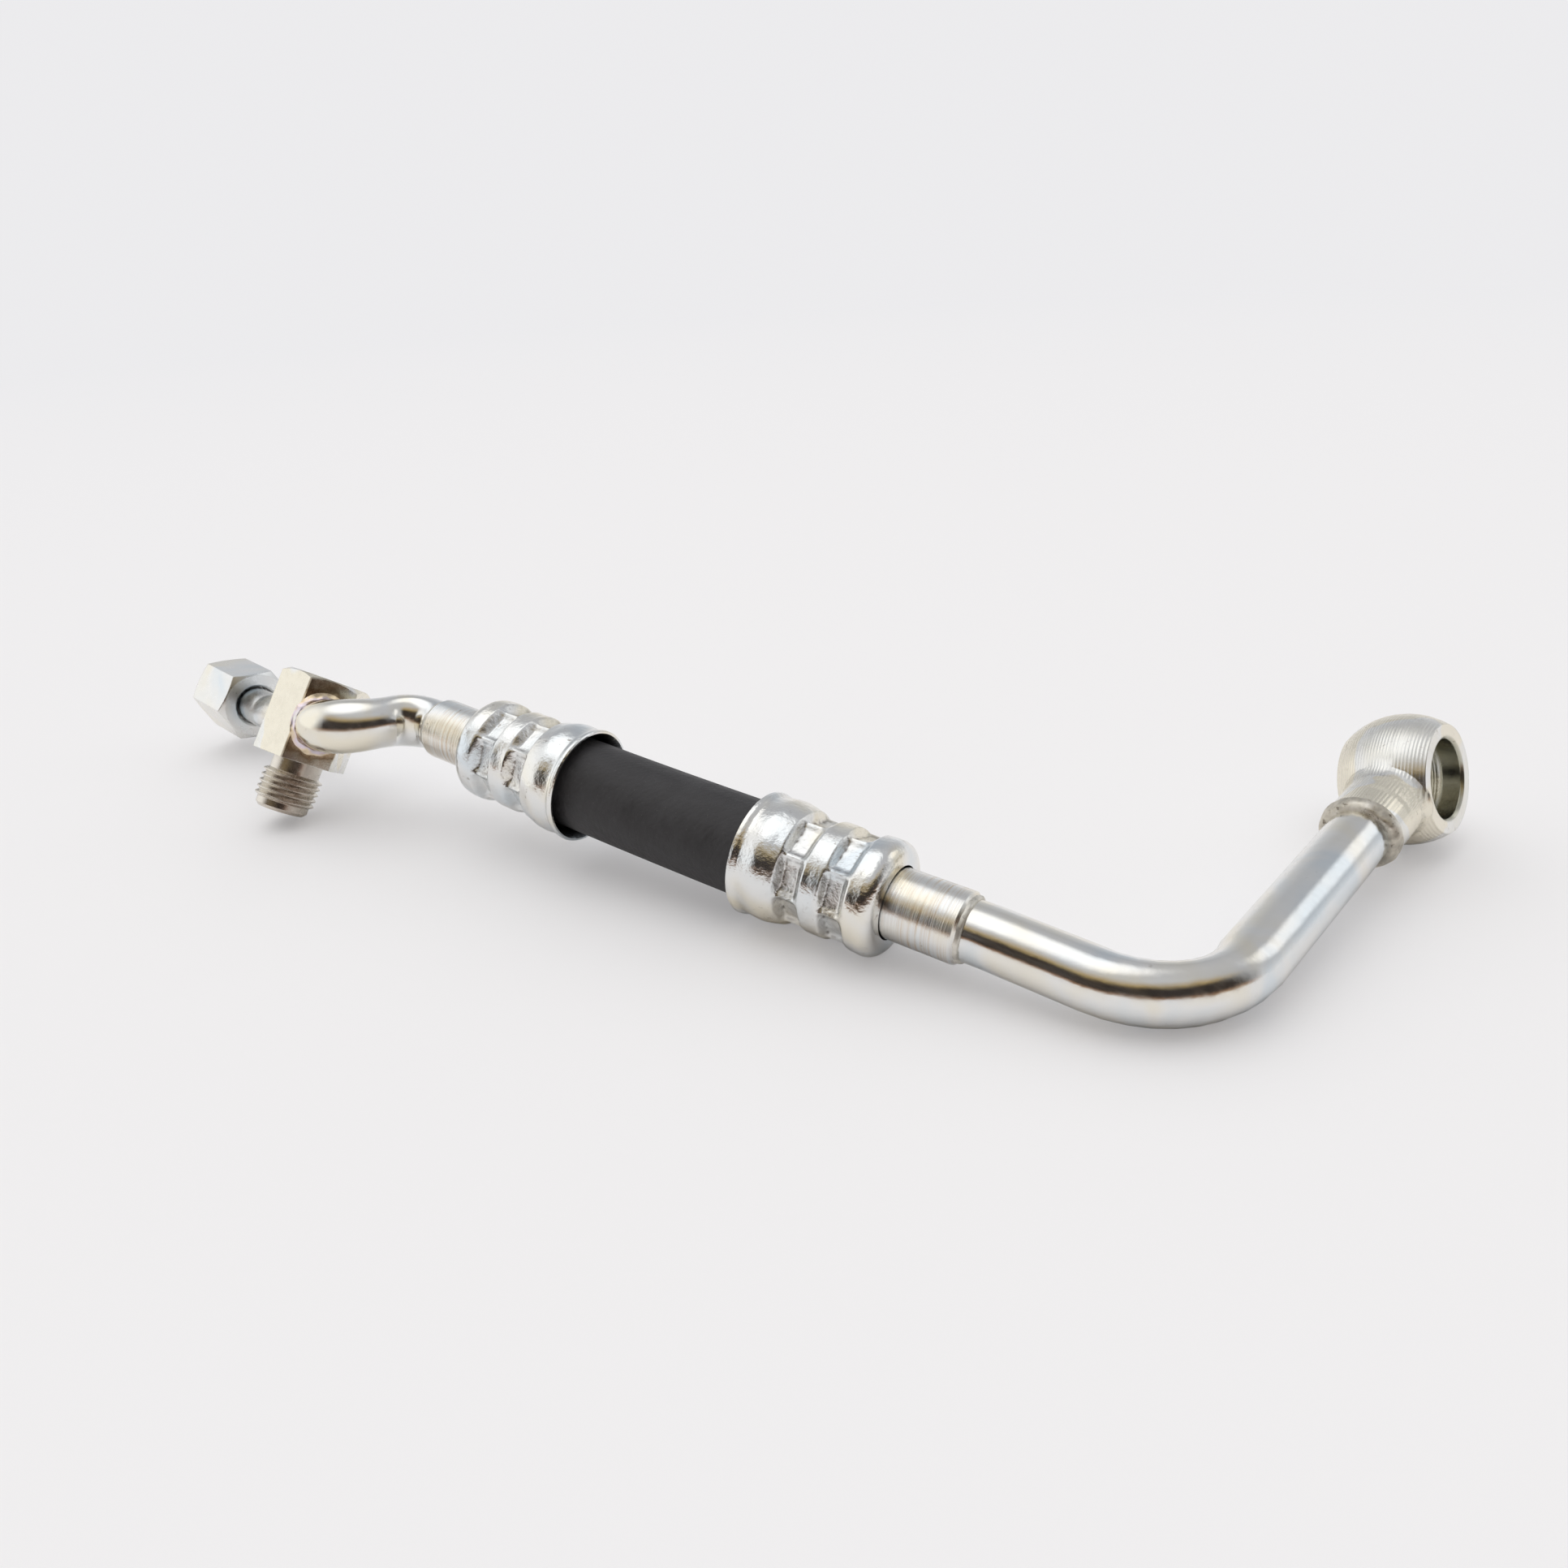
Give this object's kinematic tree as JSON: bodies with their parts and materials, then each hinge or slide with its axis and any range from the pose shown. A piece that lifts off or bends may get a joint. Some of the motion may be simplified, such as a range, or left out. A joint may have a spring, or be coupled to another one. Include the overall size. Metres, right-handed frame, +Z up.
{
  "type": "oil line",
  "caption": "Steel oil line with a crimped rubber hose between a banjo eye on a bent tube and a tee with a threaded stub and a union nut.",
  "frame": {"origin": "centre of the footprint, on the surface that the line lies on", "axes": "+X along the hose towards the banjo end, +Y towards the side that the banjo leg points to, +Z up"},
  "size_m": [0.3083, 0.1313, 0.0366],
  "materials": {
    "banjo_eye": "bright zinc plate, lightly stained",
    "tube_long": "bright zinc plate, lightly stained",
    "hose_insert_long": "bright zinc plate, lightly stained",
    "ferrule_long": "bright zinc plate, lightly stained",
    "ferrule_short": "bright zinc plate, lightly stained",
    "hose_insert_short": "bright zinc plate, lightly stained",
    "tube_short": "bright zinc plate, lightly stained",
    "tee_body": "bright zinc plate, lightly stained",
    "tube_nut": "bright zinc plate, lightly stained",
    "cutting_ring": "bright zinc plate, lightly stained",
    "union_nut": "bright zinc plate, lightly stained",
    "banjo_braze_ring": "dull braze, heat tinted",
    "insert_braze_long": "dull braze, heat tinted",
    "insert_braze_short": "dull braze, heat tinted",
    "tee_braze_front": "dull braze, heat tinted",
    "tee_braze_back": "dull braze, heat tinted",
    "hose": "matte black rubber"
  },
  "bodies": {
    "line": {"banjo_eye": "banjo_eye", "tube_long": "tube_long", "hose_insert_long": "hose_insert_long", "ferrule_long": "ferrule_long", "ferrule_short": "ferrule_short", "hose_insert_short": "hose_insert_short", "tube_short": "tube_short", "tee_body": "tee_body", "tube_nut": "tube_nut", "cutting_ring": "cutting_ring", "banjo_braze_ring": "banjo_braze_ring", "insert_braze_long": "insert_braze_long", "insert_braze_short": "insert_braze_short", "tee_braze_front": "tee_braze_front", "tee_braze_back": "tee_braze_back", "hose": "hose"},
    "nut": {"union_nut": "union_nut"}
  },
  "joints": [
    {"name": "nut_spin", "type": "hinge", "parent": "line", "child": "nut", "pos_m": [-0.1344, -0.0358, 0.0141], "axis": [-0.9863, 0.1644, 0.0117], "continuous": true}
  ]
}
